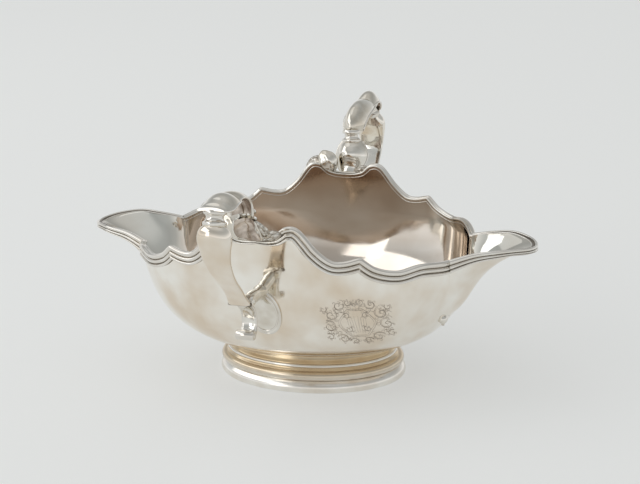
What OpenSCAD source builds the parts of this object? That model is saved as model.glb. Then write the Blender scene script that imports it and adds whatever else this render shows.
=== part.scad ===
// Double-lipped silver sauce boat with two flying scroll handles on an oval foot.
// Origin: middle of the foot's underside. +X runs to one lip, +Y to the back handle, +Z up.

/* [Bowl] */
// Overall length from lip tip to lip tip
boat_len = 213; // [204:1:222]
// Half length of the oval bowl at the rim, without the lips
bowl_a = 73.7; // [70:0.1:77]
// Half width of the oval bowl at the rim
bowl_b = 55.9; // [52:0.1:60]
// Height of the lowest point of the bowl's underside
bowl_floor = 13.5; // [12.5:0.1:14.5]
// Height at which the end walls stand upright
end_wall_top = 62; // [58:1:70]
// Height at which the side walls stand upright
side_wall_top = 80; // [72:1:90]
// Roundness of the belly, higher is fuller
belly = 3; // [2.6:0.1:3.3]
// Thickness of the raised silver
wall = 1.2; // [1:0.1:1.6]

/* [Rim] */
// Where the rim's cusps stand, measured from the middle along the boat
cusp_x = 42.5; // [40:0.5:45]
// Where the lips spring from the bowl
crease_x = 71.3; // [70:0.1:72]
// How far the reeded moulding stands out from the wall
reed_out = 1.5; // [1:0.1:2]
// Height of the reeded moulding, measured down the wall
reed_drop = 5; // [4.6:0.1:5.4]

/* [Foot] */
// Half length of the foot at the groove above its base band
foot_a = 42.3; // [41:0.1:44]
// Half width of the foot at the groove above its base band
foot_b = 29.4; // [28:0.1:31]
// Height of the base band
band_h = 5.2; // [4.5:0.1:6]
// Height at which the foot meets the bowl
foot_h = 18; // [17:0.5:19]

/* [Handles] */
// Height of the front handle's cap above the table
front_cap_z = 106; // [104:0.5:112]
// Height of the back handle's cap above the table
back_cap_z = 112; // [104:0.5:113]
// Half width of the strap at its bulb
strap_half = 7.2; // [6:0.1:8]
// Half length of the rolled thumb end
thumb_half = 4.2; // [3.6:0.1:5]

/* [Hidden] */

polished = [0.78, 0.76, 0.73];
bright = [0.86, 0.85, 0.83];
shaded = [0.66, 0.63, 0.60];

// Plan exponent of the oval at the rim, and low down where it is a plain ellipse
plan_e = 2.52;
plan_e_low = 2;
tip_x = boat_len / 2 - reed_out;
crease_y = bowl_b * pow(1 - pow(crease_x / bowl_a, plan_e), 1 / plan_e);
// Height at which the creases run out, and at which the lips' keels do
crease_foot_z = 34;
keel_foot_z = 34;
// Share of the way to the lip's centre line that a crease travels on its way down
crease_run_in = 0.1;

// Rim heights from the handle to the cusp: saddle, ear, S-slope, shallow dip, cusp
side_rim = [[-8, 79.5], [0, 78.5], [8, 79.5], [13, 83], [18, 82.3], [25, 74], [31, 69.3],
    [36, 68.8], [cusp_x, 70.3]];
// Rim heights from the cusp to the crease
end_rim = [[cusp_x, 70.3], [48, 65.8], [56, 63.4], [64, 64.4], [crease_x, 62.2]];
// Half width and height of the lip's edge, from the crease (0) to the tip (1)
lip_half = [[0, crease_y], [0.2, 17], [0.4, 15.2], [0.6, 10.5], [0.8, 5.6], [1, 0]];
lip_rise = [[0, 62.2], [0.2, 64.8], [0.4, 66], [0.6, 65.5], [0.8, 64.3], [1, 63.4]];

// Rim position: 0 side middle, 1 cusp, 2 crease, 3 lip tip
ear_u = 14 / cusp_x;

function clamp01(t) = max(0, min(1, t));
function mix(a, b, t) = a + (b - a) * t;
function unit(v) = v / norm(v);

// A smooth curve through stations of [position, value ...]
function leg_of(st, x, i = 0) = (i >= len(st) - 2 || x <= st[i + 1][0]) ? i : leg_of(st, x, i + 1);
function slope_of(st, i, k) =
    let(a = max(i - 1, 0), b = min(i + 1, len(st) - 1)) (st[b][k] - st[a][k]) / (st[b][0] - st[a][0]);
function through(st, x, k = 1) =
    let(i = leg_of(st, x), h = st[i + 1][0] - st[i][0], t = (x - st[i][0]) / h)
    (1 + 2 * t) * pow(1 - t, 2) * st[i][k] + t * pow(1 - t, 2) * h * slope_of(st, i, k)
    + t * t * (3 - 2 * t) * st[i + 1][k] + t * t * (t - 1) * h * slope_of(st, i + 1, k);

// Swelling of the belly: 0 at the bowl's floor, 1 where the wall stands upright
function swell(z, low, top) =
    let(w = clamp01((z - low) / (top - low))) pow(1 - pow(1 - w, belly), 1 / belly);
function plan_at(z) = mix(plan_e_low, plan_e, pow(clamp01((z - bowl_floor) / (60 - bowl_floor)), 2));

// Rim point in one quarter, drawn in by d from the outer wall
function rim_x(u) = u <= 1 ? cusp_x * u : u <= 2 ? mix(cusp_x, crease_x, u - 1)
    : crease_x + (tip_x - crease_x) * sin(90 * (u - 2));
function rim_z(u) = u <= 1 ? through(side_rim, rim_x(u)) : u <= 2 ? through(end_rim, rim_x(u))
    : through(lip_rise, u - 2);
function sweep_angle(u) = asin(pow(min(1, rim_x(min(u, 2)) / bowl_a), plan_e / 2));
crease_angle = sweep_angle(2);
function crease_angle_at(z) =
    mix(crease_angle, 90, crease_run_in * clamp01((rim_z(2) - z) / (rim_z(2) - crease_foot_z)));

// Wall point in one quarter: u round the rim, z its height, d inset
function belly_pt(u, z, d) =
    let(turn = crease_angle_at(z),
        a = u <= 2 ? sweep_angle(u) / crease_angle * turn : mix(turn, 90, pow(u - 2, 0.6)),
        e = plan_at(z))
    [(bowl_a - d) * swell(z, bowl_floor + d, end_wall_top) * pow(sin(a), 2 / e),
     (bowl_b - d) * swell(z, bowl_floor + d, side_wall_top) * pow(max(0, cos(a)), 2 / e)];
function lip_pt(u, d) =
    [crease_x - d + (rim_x(u) - crease_x), through(lip_half, u - 2) * (1 - d / 17)];
function lip_share(u, z) =
    u <= 2 ? 0 : let(w = clamp01((z - keel_foot_z) / (rim_z(u) - keel_foot_z)))
    0.8 * pow(w, 3) + 0.2 * pow(w, 0.55);
function wall_pt(u, z, d = 0) =
    let(b = belly_pt(u, z, d), l = u <= 2 ? b : lip_pt(u, d), p = mix(b, l, lip_share(u, z)))
    [p[0], p[1], z];
function rim_pt(u, d = 0) = wall_pt(u, rim_z(u), d);

// The columns of the bowl's mesh, round all four quarters
quarter_cols = concat([for (i = [0:11]) i / 12], [for (i = [0:7]) 1 + i / 8], [for (i = [0:8]) 2 + i / 8]);
quarter_n = len(quarter_cols) - 1;
round_cols = concat(
    [for (i = [0:quarter_n - 1]) [quarter_cols[i], 1, -1]],
    [for (i = [0:quarter_n - 1]) [quarter_cols[quarter_n - i], 1, 1]],
    [for (i = [0:quarter_n - 1]) [quarter_cols[i], -1, 1]],
    [for (i = [0:quarter_n - 1]) [quarter_cols[quarter_n - i], -1, -1]]);
rows = 12;

function shell_rows(d) = [for (j = [1:rows]) [for (c = round_cols)
    let(z = mix(bowl_floor + d, rim_z(c[0]), pow(j / rows, 1.7)), p = wall_pt(c[0], z, d))
    [c[1] * p[0], c[2] * p[1], p[2]]]];

// A closed skin over rings of equal length, joined in order. Its ends are the flat first and last ring,
// or fans to two end points.
module skin(rings, ends = []) {
    n = len(rings[0]);
    m = len(rings);
    fan = len(ends) == 2;
    pts = concat([for (r = rings) each r], ends);
    faces = concat(
        fan ? [for (i = [0:n - 1]) [m * n, (i + 1) % n, i]] : [[for (i = [n - 1:-1:0]) i]],
        [for (j = [0:m - 2]) for (i = [0:n - 1]) each
            let(a = j * n + i, b = j * n + (i + 1) % n) [[a, b, b + n], [a, b + n, a + n]]],
        fan ? [for (i = [0:n - 1]) [m * n + 1, (m - 1) * n + i, (m - 1) * n + (i + 1) % n]]
            : [[for (i = [0:n - 1]) (m - 1) * n + i]]);
    polyhedron(pts, faces, convexity = 8);
}

// A closed band: rings of equal length joined in order and back to the first
module band(rings) {
    n = len(rings[0]);
    m = len(rings);
    pts = [for (r = rings) each r];
    faces = [for (j = [0:m - 1]) for (i = [0:n - 1]) each
        let(a = j * n + i, b = j * n + (i + 1) % n, k = (j + 1) % m)
        [[a, b, k * n + (i + 1) % n], [a, k * n + (i + 1) % n, k * n + i]]];
    polyhedron(pts, faces, convexity = 8);
}

module bowl() {
    color(polished) {
        outer = shell_rows(0);
        inner = shell_rows(wall);
        skin(concat(outer, [for (j = [0:rows - 1]) inner[rows - 1 - j]]),
            [[0, 0, bowl_floor], [0, 0, bowl_floor + wall]]);
    }
}

// Reeded moulding: three beads, each [height below the rim, radius]
reeds = [[0.06, 0.25], [0.49, 0.19], [0.84, 0.15]] * reed_drop;
lip_reeds = [[0.2, 1], [1.9, 0.7]];
function bead_profile(beads, steps) = concat(
    [[-wall * 0.9, -0.2], [-wall * 0.6, 0.7]],
    [for (b = beads) for (k = [0:steps - 1]) let(a = 75 - 150 * k / (steps - 1))
        [reed_out - b[1] + b[1] * cos(a), b[1] * sin(a) - b[0]]],
    [[0, -beads[len(beads) - 1][0] - beads[len(beads) - 1][1]], [0, -0.2]]);

// The profile's frame at a rim position: outward, and up across the rim's run
function outward(u) = let(s = 0.01, a = rim_pt(max(0, u - s)), b = rim_pt(min(3, u + s)), t = b - a)
    unit([-t[1], t[0], 0]);
function upward(u) =
    let(s = 0.03, t = unit(rim_pt(min(3, u + s)) - rim_pt(max(0, u - s))), o = outward(u),
        across = unit(cross(o, t)), lean = across[2] < 0 ? -across : across)
    unit(mix([0, 0, 1], lean, 0.6));
function rim_section(profile, u, sx, sy, fade = 1) =
    let(p = rim_pt(u), o = outward(u), up = upward(u))
    [for (q = profile) let(v = p + (q[0] * o + q[1] * up) * fade) [sx * v[0], sy * v[1], v[2]]];

// A moulding swept along one quarter's rim, with flat ends
module rim_sweep(profile, u0, u1, n, sx, sy) {
    turned = sx * sy > 0;
    skin([for (i = [0:n])
        let(s = rim_section(profile, mix(u0, u1, i / n), sx, sy)) turned ? s : reverse(s)]);
}
function reverse(a) = [for (i = [len(a) - 1:-1:0]) a[i]];

module rim_moulding(sx, sy) color(bright) rim_sweep(bead_profile(reeds, 3), ear_u, 2, 30, sx, sy);

module rim_bridge(sy) {
    color(bright) {
        profile = bead_profile(lip_reeds, 3);
        n = 6;
        right = [for (i = [0:n]) rim_section(profile, ear_u * (1 - i / n), 1, sy)];
        left = [for (i = [1:n]) rim_section(profile, ear_u * i / n, -1, sy)];
        rings = concat(right, left);
        skin([for (r = rings) sy < 0 ? r : reverse(r)]);
    }
}

module lip_wire(sx) {
    color(bright) {
        profile = bead_profile(lip_reeds, 3);
        n = 12;
        near = [for (i = [0:n]) rim_section(profile, 2 + i / n, sx, -1)];
        far = [for (i = [1:n]) rim_section(profile, 3 - i / n, sx, 1)];
        rings = concat(near, far);
        skin([for (r = rings) sx < 0 ? r : reverse(r)]);
    }
}

// A small cast drop where each crease runs out
module crease_drops() {
    color(shaded) for (sx = [-1, 1], sy = [-1, 1]) {
        p = wall_pt(2, crease_foot_z);
        translate([sx * p[0], sy * p[1], crease_foot_z]) scale([1, 1, 1.5]) sphere(r = 2.1, $fn = 32);
    }
}

// Foot: rings round the oval, each with a profile of [offset from the groove's oval, height]
foot_turn = 64;
function oval_pt(i, off) =
    let(a = 360 * i / foot_turn, n = unit([foot_b * cos(a), foot_a * sin(a)]))
    [foot_a * cos(a) + off * n[0], foot_b * sin(a) + off * n[1]];
module oval_ring(profile)
    band([for (i = [0:foot_turn - 1]) [for (q = profile) let(p = oval_pt(i, q[0])) [p[0], p[1], q[1]]]]);
function arc(cx, cz, r, from, to, n) = [for (i = [0:n]) let(a = mix(from, to, i / n))
    [cx + r * cos(a), cz + r * sin(a)]];

// Height of the bowl's underside over a point of the foot
function over_by(p, z) =
    let(e = plan_at(z)) pow(abs(p[0]) / (bowl_a * swell(z, bowl_floor, end_wall_top) + 0.001), e)
        + pow(abs(p[1]) / (bowl_b * swell(z, bowl_floor, side_wall_top) + 0.001), e) - 1;
function underside(p, lo = 13, hi = 40, n = 24) =
    n == 0 ? (lo + hi) / 2
    : let(m = (lo + hi) / 2) over_by(p, m) > 0 ? underside(p, m, hi, n - 1) : underside(p, lo, m, n - 1);

skirt = [[-4.6, foot_h], [-4.9, 15.8], [-4.2, 13.6], [-2.9, 12.2], [-2.2, 10.4], [-1.3, 9.4],
    [-1.3, band_h]];
skirt_t = 1.1;
module foot_skirt() {
    color(shaded) band([for (i = [0:foot_turn - 1])
        let(out = [for (q = skirt) let(p = oval_pt(i, q[0]))
                [p[0], p[1], q[1] == foot_h ? underside(p) + 0.3 : q[1]]],
            in = [for (q = skirt) let(p = oval_pt(i, q[0] - skirt_t))
                [p[0], p[1], q[1] == foot_h ? underside(p) + 0.3 : q[1]]])
        concat(reverse(out), in)]);
}
module foot_ridge_wire() color(bright) oval_ring(arc(-3.1, 12.9, 0.95, 0, 324, 9));
bead_r = 2.2;
module foot_bead_wire() color(bright) oval_ring(arc(-1.3, band_h + bead_r, bead_r, -90, 90, 8));
module foot_base_band() color(bright)
    oval_ring([[-2.2, 0], [0.6, 0], [1.3, 0.6], [1.5, 1.8], [1.2, 3.2], [0.4, 4.4], [-0.4, band_h],
        [-2.2, band_h]]);

// A ribbon in a handle's plane: stations of [distance from the middle, height, half width, half thickness]
function chord(st, i) =
    i == 0 ? 0 : chord(st, i - 1) + norm([st[i][0] - st[i - 1][0], st[i][1] - st[i - 1][1]]);
function along(st) = [for (i = [0:len(st) - 1]) concat([chord(st, i)], st[i])];
module ribbon(stations, face = [1, 1], steps = 3, sides = 12) {
    st = along(stations);
    n = (len(st) - 1) * steps;
    run = st[len(st) - 1][0];
    rings = [for (i = [0:n])
        let(s = run * i / n, p = [through(st, s, 1), through(st, s, 2)],
            ds = run / n / 4,
            q0 = max(0, s - ds), q1 = min(run, s + ds),
            t = unit([through(st, q1, 1) - through(st, q0, 1), through(st, q1, 2) - through(st, q0, 2)]),
            hw = through(st, s, 3), ht = through(st, s, 4))
        [for (k = [0:sides - 1]) let(a = 360 * k / sides,
                w = sign(cos(a)) * pow(abs(cos(a)), 0.8) * hw,
                h = sign(sin(a)) * pow(abs(sin(a)), 0.8) * ht * (sin(a) > 0 ? face[0] : face[1]))
            [w, p[0] - t[1] * h, p[1] + t[0] * h]]];
    skin([for (r = rings) reverse(r)]);
}

// Both handles are drawn at the back and turned round for the front
module at_handle(side) rotate([0, 0, side == "front" ? 180 : 0]) children();
function cap_z(side) = side == "front" ? front_cap_z : back_cap_z;

// Root: a domed lobe on the left, a long leaf running out to the ear, a low leaf on the right
module root_leaves(side) {
    mirror_y = side == "front" ? -1 : 1;
    color(shaded) scale([1, mirror_y, 1]) {
        translate([-10.6, 57, 83.6]) rotate([0, -12, 0])
            scale([0.95, 0.75, 1.25]) sphere(r = 4.8, $fn = 40);
        translate([-16, 57, 82]) rotate([0, 60, 0]) scale([0.55, 0.5, 1]) sphere(r = 4.6, $fn = 40);
        translate([8.2, 57.2, 80.3]) rotate([0, -72, 0]) scale([0.5, 0.55, 1]) sphere(r = 3.8, $fn = 40);
    }
}

// Faces of a handle piece: relief on one side, nearly flat on the side that the fingers meet
relief_out = [1, 0.35];
relief_in = [0.35, 1];

// The inner leg's top and its collar's height: the front handle is bent lower
function leg_z(side) = side == "front" ? 88 : 92;
function collar_h(side) = side == "front" ? 4.8 : 6.2;

module inner_leg(side) color(polished) at_handle(side) {
    fall = 92 - leg_z(side);
    ribbon([[66.4, 92 - fall, 4.4, 4], [66, 89.4 - 0.75 * fall, 6.2, 6.2], [64.8, 85.6 - 0.4 * fall, 7.2, 7],
        [62.8, 81.6 - 0.1 * fall, 5.8, 5.6], [60.4, 79.4, 3.8, 3.2], [58, 78.2, 1.8, 1.2]], relief_in);
}

// A turned collar of radius r and height h: a fillet, a waist and a second fillet
module collar(r, h) rotate_extrude($fn = 64)
    polygon([[0, 0], [r, 0], [r + 0.5, 0.09 * h], [r + 0.5, 0.24 * h], [r - 0.6, 0.33 * h], [r - 0.9, 0.5 * h],
        [r - 0.6, 0.66 * h], [r + 0.2, 0.75 * h], [r + 0.2, 0.91 * h], [r - 0.3, h], [0, h]]);
collar_r = 4.3;
module inner_collar(side) color(bright) at_handle(side)
    translate([0, 65.6, leg_z(side)]) rotate([-4, 0, 0]) collar(collar_r, collar_h(side));

// The arch's top lies this far under the cap's
arch_fall = 4;
module arch(side) color(polished) at_handle(side) {
    top = cap_z(side) - arch_fall - 1.6;
    start = leg_z(side) + collar_h(side);
    ribbon([[66, start, 5.6, 1.5], [66.4, start + 1.7, 5.8, 1.6], [68.4, mix(start + 0.5, top, 0.72), 6, 1.6],
        [72.6, top - 0.6, 6.1, 1.6], [77.6, top, 6, 1.5], [83, top - 0.4, 5.4, 1.3]]);
}

module cap_leaf(side) color(polished) at_handle(side) {
    top = cap_z(side);
    ribbon([[79, top - 6.4, 4.4, 0.8], [81.5, top - 4.2, 6, 1.6], [86, top - 2.7, 6.9, 2.6],
        [91, top - 3.3, 7, 2.4], [94.6, top - 5, 6, 1.6], [96.4, top - 6.6, 4.6, 0.7]]);
}

outer_foot_z = 94.8;
module outer_collar(side) {
    rise = cap_z(side) - 5.4 - outer_foot_z;
    color(bright) at_handle(side) translate([0, 95, outer_foot_z - 0.2]) rotate([16, 0, 0])
        collar(collar_r, rise);
}

module strap(side) color(polished) at_handle(side)
    ribbon([[94.4, outer_foot_z, 4.6, 4.6], [95, 92.6, 6.7, 5.8], [95.2, 89.2, strap_half, 5.6],
        [95.2, 85, 6.9, 3.8], [94.2, 80, 6.4, 2], [88.4, 71.6, 5.2, 1.6], [81.8, 64.8, 4.5, 1.5],
        [78.6, 60.6, 4.1, 1.5], [75.8, 56.6, 4.1, 1.4]], relief_out);

module lower_scroll(side) color(polished) at_handle(side)
    ribbon([[75.6, 57.4, 3.8, 1.4], [72.6, 55.6, 3.4, 1.5], [69.6, 53, 3.1, 1.6], [67.8, 49.2, 3, 1.6],
        [67.6, 45.6, 3, 1.5], [69, 42.6, 3.2, 1.4], [71, 41.8, 3.6, 1.3]]);

module thumb_roll(side) color(bright) at_handle(side) translate([-thumb_half, 72.4, 42.2])
    rotate([90, 0, 90]) cylinder(r = 2.1, h = 2 * thumb_half, $fn = 48);

stub_z = 54.8;
stub_rise = 5;
module stub(side) color(bright) at_handle(side)
    translate([0, side_y(0, stub_z) - 0.4, stub_z]) rotate([stub_rise - 90, 0, 0])
        cylinder(r1 = 2.9, r2 = 2.1, h = 19.5, $fn = 40);

// Oval pad following the bowl's wall
pad_half_w = 7.6;
pad_half_h = 10.2;
pad_z = 45;
pad_t = 1.1;
function side_y(x, z) = let(e = plan_at(z))
    bowl_b * swell(z, bowl_floor, side_wall_top)
        * pow(1 - pow(abs(x) / (bowl_a * swell(z, bowl_floor, end_wall_top)), e), 1 / e);
function pad_ring(k, off) = [for (i = [0:23])
    let(a = 15 * i, x = k * pad_half_w * cos(a), z = pad_z + k * pad_half_h * sin(a))
    [x, side_y(x, z) + off, z]];
module body_pad(side) color(bright) at_handle(side)
    skin([pad_ring(0.5, -0.4), pad_ring(1, -0.4), pad_ring(1.04, pad_t * 0.4), pad_ring(0.9, pad_t),
            pad_ring(0.45, pad_t)],
        [[0, side_y(0, pad_z) - 0.4, pad_z], [0, side_y(0, pad_z) + pad_t, pad_z]]);

bowl();
rim_moulding(-1, -1);  // rim_moulding_front_left
rim_moulding(1, -1);  // rim_moulding_front_right
rim_moulding(-1, 1);  // rim_moulding_back_left
rim_moulding(1, 1);  // rim_moulding_back_right
rim_bridge(-1);  // rim_bridge_front
rim_bridge(1);  // rim_bridge_back
lip_wire(-1);  // lip_wire_left
lip_wire(1);  // lip_wire_right
crease_drops();
foot_skirt();
foot_ridge_wire();
foot_bead_wire();
foot_base_band();
root_leaves("front");  // root_leaves_front
root_leaves("back");  // root_leaves_back
inner_leg("front");  // inner_leg_front
inner_leg("back");  // inner_leg_back
inner_collar("front");  // inner_collar_front
inner_collar("back");  // inner_collar_back
arch("front");  // arch_front
arch("back");  // arch_back
cap_leaf("front");  // cap_leaf_front
cap_leaf("back");  // cap_leaf_back
outer_collar("front");  // outer_collar_front
outer_collar("back");  // outer_collar_back
strap("front");  // strap_front
strap("back");  // strap_back
lower_scroll("front");  // lower_scroll_front
lower_scroll("back");  // lower_scroll_back
thumb_roll("front");  // thumb_roll_front
thumb_roll("back");  // thumb_roll_back
stub("front");  // stub_front
stub("back");  // stub_back
body_pad("front");  // body_pad_front
body_pad("back");  // body_pad_back
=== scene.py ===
# Silver sauce boat: the looks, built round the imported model. Shapes are worked out in millimetres in
# the frame's axes (+X to one lip, +Y to the back handle, +Z up) and placed in metres.
import math

import bmesh
import bpy
from mathutils import Matrix, Vector


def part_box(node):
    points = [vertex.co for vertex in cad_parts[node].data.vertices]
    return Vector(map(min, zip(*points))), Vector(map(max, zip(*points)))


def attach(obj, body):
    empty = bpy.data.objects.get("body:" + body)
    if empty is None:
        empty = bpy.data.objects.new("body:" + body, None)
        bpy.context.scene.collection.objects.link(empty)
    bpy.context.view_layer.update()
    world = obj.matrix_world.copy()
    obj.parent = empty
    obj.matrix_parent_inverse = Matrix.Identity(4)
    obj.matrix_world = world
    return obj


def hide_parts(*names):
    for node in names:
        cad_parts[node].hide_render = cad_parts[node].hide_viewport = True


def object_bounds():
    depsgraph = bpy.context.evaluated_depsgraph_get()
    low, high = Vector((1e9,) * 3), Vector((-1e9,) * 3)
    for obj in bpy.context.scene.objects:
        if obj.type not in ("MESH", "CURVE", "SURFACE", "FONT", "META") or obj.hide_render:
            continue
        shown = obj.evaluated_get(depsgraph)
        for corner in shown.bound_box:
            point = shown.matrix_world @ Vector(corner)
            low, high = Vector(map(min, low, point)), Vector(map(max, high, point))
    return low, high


bl_info = {
    "name": "Silver sauce boat",
    "version": (1, 0, 0),
    "blender": (4, 5, 0),
    "location": "View3D > Sidebar > Sauce boat",
    "description": "Double-lipped sauce boat with scroll handles and an oval foot, in polished silver",
    "category": "Add Mesh",
}

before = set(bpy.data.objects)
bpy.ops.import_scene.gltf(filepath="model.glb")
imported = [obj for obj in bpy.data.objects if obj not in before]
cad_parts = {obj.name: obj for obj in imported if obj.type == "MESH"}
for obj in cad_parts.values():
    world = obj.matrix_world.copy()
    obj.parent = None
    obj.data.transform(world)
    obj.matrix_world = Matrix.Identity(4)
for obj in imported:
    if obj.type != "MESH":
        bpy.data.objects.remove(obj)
CAD_LOW, CAD_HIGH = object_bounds()
MM = 0.001
MATERIALS = {}

# Distances from the middle to the rim's cusps, and to the creases where the lips spring, in mm
CUSP_X = 42.5
CREASE_X = 71.3
# Rim heights from the handle to the cusp: saddle, ear, slope, shallow dip, cusp
SIDE_RIM = [
    (-8, 79.5), (0, 78.5), (8, 79.5), (13, 83), (18, 82.3), (25, 74), (31, 69.3), (36, 68.8),
    (CUSP_X, 70.3),
]
# Rim heights from the cusp to the crease where the lip springs
END_RIM = [(CUSP_X, 70.3), (48, 65.8), (56, 63.4), (64, 64.4), (CREASE_X, 62.2)]
# Height of the lip's edge, from the crease (0) to the tip (1)
LIP_RISE = [(0, 62.2), (0.2, 64.8), (0.4, 66.1), (0.6, 66), (0.8, 65.4), (1, 64.9)]
# Where a handle's ear ends, as a share of the way to the cusp
EAR_U = 14 / CUSP_X
# Heights at which the creases, and the keels under the lips, run out into the wall
CREASE_FOOT_Z = 34
KEEL_FOOT_Z = 34
# How far the creases lean towards the lips on their way down
CREASE_RUN_IN = 0.1
# Height from which the bowl's plan is as boxy as at the rim
FULL_PLAN_Z = 60


# ------------ small maths


def mix(a, b, t):
    return a + (b - a) * t


def clamp(t):
    return max(0.0, min(1.0, t))


def through(stations, x, k=1):
    """Value k of a smooth curve through stations of (position, value, ...)."""
    i = 0
    while i < len(stations) - 2 and x > stations[i + 1][0]:
        i += 1

    def slope(j):
        a, b = stations[max(j - 1, 0)], stations[min(j + 1, len(stations) - 1)]
        return (b[k] - a[k]) / (b[0] - a[0])

    h = stations[i + 1][0] - stations[i][0]
    t = (x - stations[i][0]) / h
    return (
        (1 + 2 * t) * (1 - t) ** 2 * stations[i][k]
        + t * (1 - t) ** 2 * h * slope(i)
        + t * t * (3 - 2 * t) * stations[i + 1][k]
        + t * t * (t - 1) * h * slope(i + 1)
    )


# ------------ the bowl's shape


class BowlShape:
    """Points on the bowl's wall. u runs round a quarter: 0 side, 1 cusp, 2 crease, 3 lip tip."""

    def __init__(self, sizes):
        self.a, self.b = sizes.half_length / MM, sizes.half_width / MM
        self.floor, self.wall = sizes.floor_height / MM, sizes.wall / MM
        self.belly = sizes.belly
        # Heights at which the wall stands upright, at the ends and at the sides
        self.end_top, self.side_top = 62.0, 80.0
        # Power of the plan's oval at the rim and at the floor: 2 is an ellipse, more is boxier
        self.plan, self.plan_low = 2.52, 2.0
        # How far the reeds stand out
        self.reed_out = 1.5
        self.tip_x = sizes.length / MM / 2 - self.reed_out
        crease_y = self.b * (1 - (CREASE_X / self.a) ** self.plan) ** (1 / self.plan)
        # Half width of a lip, from the crease (0) to the tip (1)
        self.lip_half = [(0, crease_y), (0.2, 17), (0.4, 15.2), (0.6, 10.5), (0.8, 5.6), (1, 0)]
        self.crease_angle = self.sweep(2)

    def swell(self, z, low, top):
        w = clamp((z - low) / (top - low))
        return (1 - (1 - w) ** self.belly) ** (1 / self.belly)

    def plan_at(self, z):
        return mix(self.plan_low, self.plan, clamp((z - self.floor) / (FULL_PLAN_Z - self.floor)) ** 2)

    def rim_x(self, u):
        if u <= 1:
            return CUSP_X * u
        if u <= 2:
            return mix(CUSP_X, CREASE_X, u - 1)
        return CREASE_X + (self.tip_x - CREASE_X) * math.sin(math.pi / 2 * (u - 2))

    def rim_z(self, u):
        if u <= 1:
            return through(SIDE_RIM, self.rim_x(u))
        if u <= 2:
            return through(END_RIM, self.rim_x(u))
        return through(LIP_RISE, u - 2)

    def sweep(self, u):
        return math.asin(min(1, self.rim_x(min(u, 2)) / self.a) ** (self.plan / 2))

    def on_wall(self, u, z, inset=0.0):
        """A point of the wall at height z, drawn in from the outside by inset."""
        rim = self.rim_z(2)
        lean = CREASE_RUN_IN * clamp((rim - z) / (rim - CREASE_FOOT_Z))
        turn = mix(self.crease_angle, math.pi / 2, lean)
        if u <= 2:
            angle = self.sweep(u) / self.crease_angle * turn
        else:
            angle = mix(turn, math.pi / 2, (u - 2) ** 0.6)
        e, low = self.plan_at(z), self.floor + inset
        x = (self.a - inset) * self.swell(z, low, self.end_top) * math.sin(angle) ** (2 / e)
        y = (self.b - inset) * self.swell(z, low, self.side_top) * max(0, math.cos(angle)) ** (2 / e)
        if u > 2:
            w = clamp((z - KEEL_FOOT_Z) / (self.rim_z(u) - KEEL_FOOT_Z))
            share = 0.8 * w**3 + 0.2 * w**0.55
            x = mix(x, self.rim_x(u) - inset, share)
            y = mix(y, through(self.lip_half, u - 2) * (1 - inset / 17), share)
        return Vector((x, y, z))

    def on_rim(self, u):
        return self.on_wall(u, self.rim_z(u))

    def rim_frame(self, u):
        """The rim's point, its level outward direction, and its up direction across the rim's run."""
        point = self.on_rim(u)
        step = self.on_rim(min(3, u + 0.01)) - self.on_rim(max(0, u - 0.01))
        out = Vector((-step.y, step.x, 0)).normalized()
        run = (self.on_rim(min(3, u + 0.03)) - self.on_rim(max(0, u - 0.03))).normalized()
        across = out.cross(run).normalized()
        if across.z < 0:
            across.negate()
        return point, out, Vector((0, 0, 1)).lerp(across, 0.6).normalized()

    def side_y(self, x, z):
        """Half width of the outside at x and z."""
        e = self.plan_at(z)
        half = self.a * self.swell(z, self.floor, self.end_top)
        share = (1 - min(1, abs(x) / half) ** e) ** (1 / e)
        return self.b * self.swell(z, self.floor, self.side_top) * share

    def underside(self, x, y):
        """Height of the bowl's underside over a point of the foot."""
        low, high = 13.0, 40.0
        for _ in range(24):
            z = (low + high) / 2
            e = self.plan_at(z)
            a = self.a * self.swell(z, self.floor, self.end_top) + 0.001
            b = self.b * self.swell(z, self.floor, self.side_top) + 0.001
            if (abs(x) / a) ** e + (abs(y) / b) ** e > 1:
                low = z
            else:
                high = z
        return (low + high) / 2


# ------------ meshes and pieces


def loft(rings, ends="flat"):
    """Vertices and faces of a skin over rings of equal length. Its ends are flat, open or joined."""
    n, m = len(rings[0]), len(rings)
    verts = [p for ring in rings for p in ring]
    faces = [
        (j * n + i, j * n + (i + 1) % n, (j + 1) % m * n + (i + 1) % n, (j + 1) % m * n + i)
        for j in range(m if ends == "joined" else m - 1)
        for i in range(n)
    ]
    if ends == "flat":
        faces += [tuple(range(n - 1, -1, -1)), tuple(range(len(verts) - n, len(verts)))]
    return verts, faces


def turned(profile, around=64):
    """A lathe shape from (radius, height) points that start and end on the axis."""
    turns = [2 * math.pi * i / around for i in range(around)]
    return loft([[Vector((r * math.cos(a), r * math.sin(a), z)) for a in turns] for r, z in profile])


def barrel(half):
    """A lathe profile alike at both ends, from its upper half's (radius, height) points."""
    return [(r, -z) for r, z in half] + half[::-1]


def placed(shape, matrix):
    verts, faces = shape
    return [matrix @ Vector(p) for p in verts], faces


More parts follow.
